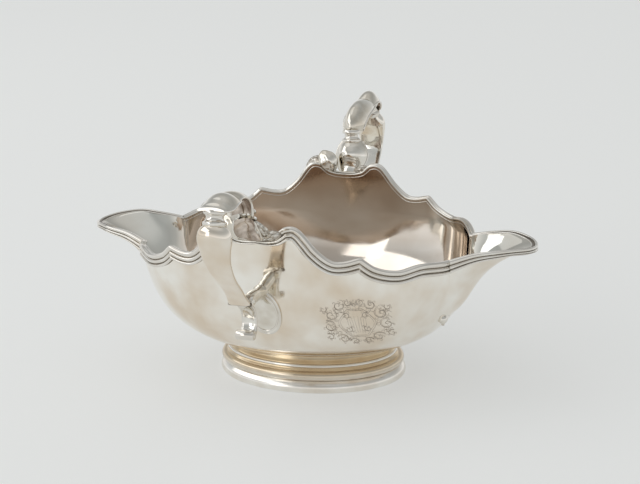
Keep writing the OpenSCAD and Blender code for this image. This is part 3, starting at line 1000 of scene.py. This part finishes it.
def half_collar(r, h, shell=0.8):
    """A collar that goes only round the bowl's side of a hollow leg, open towards the fingers."""
    profile = collar_profile(r, h)[1:-1]
    steps, opening = 40, math.radians(8)
    rings = []
    for i in range(steps + 1):
        a = math.pi + opening + (math.pi - 2 * opening) * i / steps
        around = Vector((math.cos(a), math.sin(a), 0))
        outer = [around * radius + Vector((0, 0, z)) for radius, z in profile]
        inner = [around * (radius - shell) + Vector((0, 0, z)) for radius, z in reversed(profile)]
        rings.append(outer + inner)
    return loft(rings)


def collar_profile(r, h):
    """A turned collar: rounded fillet, waist, second fillet."""
    bumps = [(0.3, 0.04), (0.5, 0.13), (0.35, 0.24), (-0.3, 0.28), (-0.7, 0.36), (-0.9, 0.48),
             (-0.75, 0.6), (-0.4, 0.66), (0.1, 0.7), (0.28, 0.8), (0.1, 0.92)]
    return [(0, 0), (r * 0.97, 0), *[(r + out, up * h) for out, up in bumps], (r - 0.3, h), (0, h)]


# The inner leg: (distance out, height, half width, half thickness, crown), in mm
INNER_LEG = {
    "front": [(67, 88.8, 4.5, 0.9, -4.2), (66.6, 86.4, 5.2, 0.9, -5), (65.4, 83.8, 5.8, 0.9, -5.6),
              (63.4, 81.2, 5.6, 0.9, -5), (60.6, 79.5, 4.6, 0.9, -3), (58, 78.2, 2.6, 0.8, -0.6)],
    "back": [(66.4, 92.6, 4.4, 0.9, -3.8), (66, 89.8, 6.7, 0.9, -5.8), (64.8, 85.6, 8, 0.9, -6.9),
             (62.8, 81.8, 7.2, 0.9, -5.6), (60.4, 79.5, 5.4, 0.9, -3), (58, 78.2, 3.2, 0.8, -0.5)],
}
# The inner leg's top and its collar's height
LEG_TOP = {"front": 88, "back": 92}
COLLAR_RISE = {"front": 4.8, "back": 6.2}
# The hood over the fingers, measured like the leg. The two handles were cast alike and bent
# differently, so the back one stands taller.
HOOD = {
    "front": [(69, 91.4, 4.7, 0.8, 4.4), (69.3, 94.4, 5, 0.8, 4.2), (70.6, 97.4, 5.3, 0.8, 3.2),
              (74, 100.2, 5.5, 0.8, 1.9), (79, 102, 5.6, 0.8, 1.4), (84, 101.2, 5.4, 0.8, 1.4)],
    "back": [(69, 96.6, 4.8, 0.8, 4.2), (69.6, 99, 5.4, 0.8, 5.2), (72.4, 101.6, 5.8, 0.8, 6),
             (77, 103.3, 5.9, 0.8, 5.8), (82.4, 104.5, 5.8, 0.8, 4.6), (88, 105.5, 5.2, 0.8, 3)],
}
# The cap leaf, measured like the leg but with heights from the cap's top
CAP = {
    "front": [(78.6, -5, 4.6, 0.7, 0.8), (82, -4.9, 6, 0.8, 2.2), (87, -4.6, 6.9, 0.8, 3.6),
              (91.7, -5.4, 7, 0.8, 3.2), (95.2, -5.2, 6.6, 0.8, 2), (97.4, -4.6, 5.6, 0.6, 0.6)],
    "back": [(84, -6.4, 4.6, 0.7, 1.5), (88, -5.8, 5.2, 0.8, 3.6), (92.5, -5.5, 5.4, 0.8, 4.6),
             (96, -6.8, 5.2, 0.8, 4), (98.6, -9.2, 4.4, 0.7, 2.2), (99.6, -11, 3.4, 0.6, 0.8)],
}
# Radius of the collars, height of the outer collar's foot on the lower handle, and that handle's cap
COLLAR_R = 4.3
STRAP_TOP = 94.8
LOW_CAP = 106


def strap_lift(cap):
    """How much higher the strap's bulb stands on the taller handle."""
    return 0.75 * (cap - LOW_CAP)


class SAUCEBOAT_OT_arches(bpy.types.Operator):
    """Builds the inner legs, collars, hooded arches and cap leaves of both handles"""

    bl_idname = "sauceboat.arches"
    bl_label = "Handle arches"

    def execute(self, context):
        sizes = context.scene.boat_handles
        for side in ("front", "back"):
            m = at_handle(side)
            cap = cap_of(sizes, side)
            # The leg's outward face, under the cap, takes the rough back with painted shade
            parts = edged(ribbon(INNER_LEG[side], 56), 0.4, m, 1)
            if side == "front":
                # A matted leaf laps the leg's right flank
                lap = bent_leaf(
                    [((-6, 59.8, 80), 1.0, 1.0), ((-6.4, 61.8, 81.8), 2.4, 1.4),
                     ((-6.2, 63.8, 84), 2.6, 1.4), ((-5.2, 65.4, 87), 1.7, 1.1),
                     ((-4.6, 66, 88.8), 0.4, 0.4)], 4)
                parts.append((placed(lap, m), "cast silver, matted"))
            piece(f"leg_inner_{side}", parts, "cast_silver", f"inner_leg_{side}")

            shell = half_collar(COLLAR_R, COLLAR_RISE[side])
            parts = [(placed(shell, leaned(m, 65.6, LEG_TOP[side], -4)), "drawn silver wire")]
            piece(f"ring_inner_{side}", parts, "cast_silver", f"inner_collar_{side}")

            # The hood's underside takes the rough back with painted shade
            hood = edged(ribbon(HOOD[side], 56), 0.5, m, -1)
            piece(f"hood_{side}", hood, "cast_silver", f"arch_{side}")

            stations = [(y, cap + below, *section) for y, below, *section in CAP[side]]
            # The cap leaf's underside takes the rough back with painted shade
            parts = edged(ribbon(stations, 56), 0.5, m, -1)
            piece(f"cap_scroll_{side}", parts, "cast_silver", f"cap_leaf_{side}")

            foot_z = STRAP_TOP + strap_lift(cap)
            collar = turned(collar_profile(COLLAR_R, cap - 4.6 - foot_z))
            parts = [(placed(collar, leaned(m, 95, foot_z - 0.2, 16)), "drawn silver wire")]
            piece(f"ring_outer_{side}", parts, "cast_silver", f"outer_collar_{side}")
        return {"FINISHED"}


class SAUCEBOAT_OT_straps(bpy.types.Operator):
    """Builds the straps with their bulbs, the lower scrolls and the thumb rolls"""

    bl_idname = "sauceboat.straps"
    bl_label = "Handle straps"

    def execute(self, context):
        sizes = context.scene.boat_handles
        half = sizes.strap_half / MM
        for side in ("front", "back"):
            m = at_handle(side)
            up = strap_lift(cap_of(sizes, side))
            # Domed outside, nearly flat behind
            strap, _ = ribbon(
                [(94.4, STRAP_TOP + up, 4.5, 4.5, 0), (95, 92.6 + up, 6.6, 5.7, 0),
                 (95.2, 89.2 + up, half, 5.5, 0), (95.4, 85 + 0.8 * up, 6.5, 3, 0),
                 (94.4, 80 + 0.4 * up, 5.7, 1.6, 0), (88.6, 71.6, 4.5, 1.3, 0),
                 (82, 64.8, 4.1, 1.3, 0), (78.8, 60.6, 4.2, 1.3, 0), (76.4, 57.2, 4.8, 1.2, 0)],
                square=(1.0, 0.5), face=(1.0, 0.35))
            bar = turned(barrel([(0, 5.1), (0.7, 5), (0.85, 4.7)]), 24)
            parts = [(placed(strap, m), "raised silver, outside"),
                     (placed(bar, crosswise(m, 76, 56.8)), "tarnished groove")]
            piece(f"strap_bulb_{side}", parts, "cast_silver", f"strap_{side}")

            tail = ribbon(
                [(75.6, 57.2, 3.6, 1.1, 0), (72.6, 55.4, 3.2, 1.1, -0.3), (69.6, 52.8, 3.0, 1.1, -0.7),
                 (67.8, 49.2, 2.9, 1.1, -0.8), (67.6, 45.6, 2.9, 1.1, -0.8), (69, 42.6, 3.1, 1.1, -0.5),
                 (71, 41.8, 3.5, 1.1, 0)], square=(0.6, 0.6))
            roll = turned(barrel([(0, 4.2), (0.9, 4.2), (1.2, 3.9), (1.9, 3.9), (2.2, 3.5)]), 40)
            parts = edged(tail, 0.55, m)
            parts.append((placed(roll, crosswise(m, 70.4, 56.6)), "cast silver, burnished"))
            piece(f"scroll_lower_{side}", parts, "cast_silver", f"lower_scroll_{side}")

            end = sizes.thumb_half / MM
            steps = [(0, end), (0.8, end), (1.0, end - 0.3), (1.8, end - 0.3), (2.1, end - 0.7)]
            thumb = placed(turned(barrel(steps), 48), crosswise(m, 72.4, 42.2))
            parts = [(thumb, "drawn silver wire")]
            piece(f"thumb_end_{side}", parts, "cast_silver", f"thumb_roll_{side}")
        return {"FINISHED"}


# Height at which a handle's stub meets the bowl, and the middle of its pad
STUB_Z = 54.8
PAD_Z = 45


class SAUCEBOAT_OT_stubs(bpy.types.Operator):
    """Joins each handle to the bowl with a turned stub on an oval pad"""

    bl_idname = "sauceboat.stubs"
    bl_label = "Stubs and pads"

    def execute(self, context):
        shape = BowlShape(context.scene.boat_bowl)
        for side in ("front", "back"):
            m = at_handle(side)
            start = leaned(m, shape.side_y(0, STUB_Z) - 0.4, STUB_Z, 5 - 90)
            profile = [(0, 0), (3.4, 0), (3.5, 0.6), (3.1, 1.3), (2.8, 2), (2.7, 6), (2.9, 9), (2.6, 13),
                       (2.3, 16.4), (2.6, 17), (2.6, 18.2), (2.2, 18.9), (0, 19.4)]
            parts = [(placed(turned(profile, 40), start), "cast silver, burnished")]
            piece(f"stub_turned_{side}", parts, "cast_silver", f"stub_{side}")

            def ring(share, stand):
                """An oval line on the wall, standing off it."""
                turns = [2 * math.pi * i / 96 for i in range(96)]
                spots = [(share * 7.6 * math.cos(a), PAD_Z + share * 10.2 * math.sin(a)) for a in turns]
                return [Vector((x, shape.side_y(x, z) + stand, z)) for x, z in spots]

            # A stepped plate: rim, cove, then a second step
            steps = [(0.3, -0.4), (1, -0.4), (1.04, 0.2), (1.02, 0.65), (0.96, 0.85), (0.9, 0.8),
                     (0.87, 0.6), (0.83, 0.62), (0.8, 0.95), (0.74, 1.08), (0.3, 1.1)]
            plate = loft([ring(*s) for s in steps])
            rims = [[(m @ p, girth) for p in ring(share, stand) + ring(share, stand)[:1]]
                    for share, stand, girth in ((1.0, 0.5, 0.5), (0.85, 0.75, 0.35))]
            parts = [(placed(plate, m), "cast silver, burnished"),
                     (wires(rims, "drawn silver wire", 10), "drawn silver wire")]
            piece(f"pad_oval_{side}", parts, "cast_silver", f"body_pad_{side}")
        return {"FINISHED"}


# The cartouche's middle, its scale, and how much more it is stretched up the wall
CARTOUCHE_X, CARTOUCHE_Z = 38.6, 40.8
CARTOUCHE_SCALE = 0.82
CARTOUCHE_STRETCH = 1.12
# Radii of the engraving's bold, fine and finest lines
BOLD, FINE, FINEST = 0.13, 0.09, 0.08


class SAUCEBOAT_OT_engraving(bpy.types.Operator):
    """Draws a generic scroll cartouche on the front, between the handle and the lip"""

    bl_idname = "sauceboat.engraving"
    bl_label = "Engraved cartouche"

    def execute(self, context):
        shape = BowlShape(context.scene.boat_bowl)

        def laid(points, width):
            out = []
            for s, t in points:
                x = CARTOUCHE_X + s * CARTOUCHE_SCALE
                z = CARTOUCHE_Z + t * CARTOUCHE_SCALE * CARTOUCHE_STRETCH
                out.append((Vector((x, -shape.side_y(x, z) - 0.02, z)), width))
            return out

        def wound(s0, t0, size, turn, start, hand, w, more=0.0):
            """The angle and the place a share w along a spiral, more mm outside it."""
            a = start + hand * math.pi * turn * w
            r = size * (1 - w) ** 0.8 + 0.15
            return a, (s0 + (r + more) * math.cos(a), t0 + (r + more) * math.sin(a))

        def scroll(s0, t0, size, turn, start, hand, width=FINE):
            """A spiral that winds in from size mm, turn half-turns long."""
            return laid([wound(s0, t0, size, turn, start, hand, i / 35)[1] for i in range(36)], width)

        def foliage(s0, t0, size, turn, start, hand):
            """A scroll with a second line beside it and curled leaves along its back."""
            drawn = [scroll(s0, t0, size, turn, start, hand, BOLD)]
            drawn.append(scroll(s0, t0, size * 0.84, turn, start, hand))
            for k in range(5):
                w = 0.05 + 0.16 * k
                leaf = size * 0.34 * (1 - 0.5 * w)
                a, spot = wound(s0, t0, size, turn, start, hand, w, leaf)
                drawn.append(scroll(*spot, leaf, 1.5, a + math.pi, -hand))
            return drawn

        frame_line = []
        for a in (2 * math.pi * i / 72 for i in range(73)):
            s, t = 1 + 0.06 * math.cos(4 * a), 1 + 0.05 * math.cos(6 * a)
            frame_line.append((8.2 * math.cos(a) * s, 8.2 * math.sin(a) * t))
        lines = [laid(frame_line, BOLD), laid([(0.9 * s, 0.9 * t) for s, t in frame_line], FINE)]
        # Small curls fill the ground between the frame and the big scrolls
        for k in range(34):
            a = math.radians(137.5 * k)
            share = 0.62 + 0.36 * ((k * 0.37) % 1)
            s, t = 16.2 * share * math.cos(a), 12.6 * share * math.sin(a)
            lines.append(scroll(s, t, 1.1 + 0.5 * ((k * 0.61) % 1), 2.0, a, 1 if s > 0 else -1))
        for hand in (-1, 1):
            for s, t, size, turn, start in (
                (11.8, 4.9, 3.2, 2.6, 2.2), (13.4, -1.4, 3.4, 2.8, 1.2), (7.6, 9.8, 2.7, 2.4, 2.8),
                (8.2, -8.8, 3.0, 2.6, 0.4), (3.0, 11.4, 1.9, 2.2, 3.0), (3.2, -10.8, 2.2, 2.4, 0.2),
                (15.2, 7.9, 1.7, 2.0, 2.4), (14.4, -7.4, 2.0, 2.2, 1.0), (4.4, 4.2, 1.6, 2.4, 0.6),
                (4.4, -3.4, 1.7, 2.4, 2.0),
            ):
                spin = start if hand > 0 else math.pi - start
                lines += foliage(hand * s, t, size, turn, spin, hand)
            for k in range(5):
                a = math.radians(90 - 15 * k)
                ray = [(hand * (0.3 + 3.4 * w * math.cos(a)), 9.4 + 3.4 * w * math.sin(a))
                       for w in (i / 7 for i in range(8))]
                lines.append(laid(ray, FINE))
            for k in range(4):
                rib = [(hand * (1.1 * k + 0.5 + 0.5 * w), -5 + 9 * w - 0.7 * k) for w in (0, 0.5, 1)]
                lines.append(laid(rib, FINEST))
        obj = set_out("engraved_cartouche", [(wires(lines, "engraved cut", 6), "engraved cut")])
        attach(obj, "root")
        return {"FINISHED"}


class SAUCEBOAT_OT_stage(bpy.types.Operator):
    """Sets the pale floor, the studio's lights and the camera"""

    bl_idname = "sauceboat.stage"
    bl_label = "Stage"

    def execute(self, context):
        floor_material(context.scene.boat_finish)
        mesh = bpy.data.meshes.new("floor")
        half = 6.0
        corners = [(-half, -half, 0), (half, -half, 0), (half, half, 0), (-half, half, 0)]
        mesh.from_pydata(corners, [], [(0, 1, 2, 3)])
        mesh.materials.append(MATERIALS["painted board"])
        floor = bpy.data.objects.new("floor", mesh)
        context.scene.collection.objects.link(floor)
        studio_lights(context.scene)
        studio_camera(context.scene)
        context.scene.view_settings.view_transform = "Standard"
        return {"FINISHED"}


def floor_material(finish):
    # Matt painted board
    _, shader, _ = new_surface("painted board")
    shader.inputs["Base Color"].default_value = linear(finish.floor_hex)
    shader.inputs["Roughness"].default_value = 0.9
    shader.inputs["Specular IOR Level"].default_value = 0.1
    # A board lit from below, which thins the shadow
    shader.inputs["Emission Color"].default_value = linear(finish.floor_hex)
    shader.inputs["Emission Strength"].default_value = 0.71


def studio_lights(scene):
    """A pale room, a wide soft box low on the left, a narrow one in front and a big one overhead."""
    world = bpy.data.worlds.new("studio")
    scene.world = world
    world.use_nodes = True
    tree = world.node_tree
    tree.nodes.clear()
    way = add_node(tree, "ShaderNodeTexCoord").outputs["Generated"]
    height = add_node(tree, "ShaderNodeSeparateXYZ", {"Vector": way}).outputs["Z"]
    sky = ramp(
        tree,
        ranged(tree, height, -0.2, 1.0),
        [(0.0, "F8F8F8"), (0.22, "F4F4F4"), (0.32, "DCDDDD"), (0.45, "BCBEBE"), (0.62, "AEB0B0"),
         (0.75, "B6B8B8"), (0.88, "CDCECE"), (1.0, "D4D5D5")],
    )
    seen = add_node(tree, "ShaderNodeLightPath").outputs["Is Camera Ray"]
    room = mixed(tree, seen, sky, linear("DEDEDD"))
    back = add_node(tree, "ShaderNodeBackground", {"Color": room, "Strength": 1.0})
    add_node(tree, "ShaderNodeOutputWorld", {"Surface": back.outputs["Background"]})
    for name, place, aim, size, watts in (
        ("overhead", (-1.9, 0.2, 3.0), (0, 0, 0.04), (3.0, 3.0), 9),
        ("key", (-1.25, -0.62, 0.92), (0, 0, 0.05), (1.9, 0.72), 4.9),
        ("front", (-0.8, -1.45, 0.42), (0, 0, 0.06), (0.45, 0.7), 1.1),
    ):
        light = bpy.data.lights.new(name, "AREA")
        light.shape = "RECTANGLE"
        light.size, light.size_y = size
        light.energy = watts
        lamp = bpy.data.objects.new(name, light)
        lamp.location = place
        lamp.rotation_mode = "QUATERNION"
        lamp.rotation_quaternion = (Vector(aim) - Vector(place)).to_track_quat("-Z", "Y")
        scene.collection.objects.link(lamp)


def studio_camera(scene):
    """A long lens a little over the rim, turned to the right of the front handle."""
    data = bpy.data.cameras.new("camera")
    data.lens, data.sensor_width = 78.75, 36.0
    camera = bpy.data.objects.new("camera", data)
    around, above, roll = math.radians(21.06), math.radians(16.51), math.radians(-2.56)
    flat = math.cos(above)
    back = Vector((math.sin(around) * flat, -math.cos(around) * flat, math.sin(above)))
    level = Vector((math.cos(around), math.sin(around), 0))
    upright = back.cross(level)
    right = level * math.cos(roll) + upright * math.sin(roll)
    up = upright * math.cos(roll) - level * math.sin(roll)
    turn = Matrix((right, up, back)).transposed().to_4x4()
    camera.matrix_world = Matrix.Translation((0.22236, -0.56103, 0.23903)) @ turn
    scene.collection.objects.link(camera)
    scene.camera = camera


# ------------ panel and registration

OPERATORS = (
    SAUCEBOAT_OT_finishes,
    SAUCEBOAT_OT_bowl,
    SAUCEBOAT_OT_rim,
    SAUCEBOAT_OT_lips,
    SAUCEBOAT_OT_drops,
    SAUCEBOAT_OT_foot,
    SAUCEBOAT_OT_roots,
    SAUCEBOAT_OT_arches,
    SAUCEBOAT_OT_straps,
    SAUCEBOAT_OT_stubs,
    SAUCEBOAT_OT_engraving,
    SAUCEBOAT_OT_stage,
)


class SAUCEBOAT_PT_sidebar(bpy.types.Panel):
    """Lists the boat's sizes and the steps that build it"""

    bl_idname = "SAUCEBOAT_PT_sidebar"
    bl_label = "Sauce boat"
    bl_space_type = "VIEW_3D"
    bl_region_type = "UI"
    bl_category = "Sauce boat"

    def draw(self, context):
        for name, group in GROUPS.items():
            box = self.layout.box()
            for prop in group.__annotations__:
                box.prop(getattr(context.scene, name), prop)
        for operator in OPERATORS:
            self.layout.operator(operator.bl_idname)


def register():
    for cls in (*GROUPS.values(), *OPERATORS, SAUCEBOAT_PT_sidebar):
        bpy.utils.register_class(cls)
    for name, group in GROUPS.items():
        setattr(bpy.types.Scene, name, bpy.props.PointerProperty(type=group))


def unregister():
    for name in GROUPS:
        delattr(bpy.types.Scene, name)
    for cls in (SAUCEBOAT_PT_sidebar, *reversed(OPERATORS), *reversed(list(GROUPS.values()))):
        bpy.utils.unregister_class(cls)


def main():
    register()
    for operator in OPERATORS:
        group, name = operator.bl_idname.split(".")
        getattr(getattr(bpy.ops, group), name)()


if __name__ == "__main__":
    main()
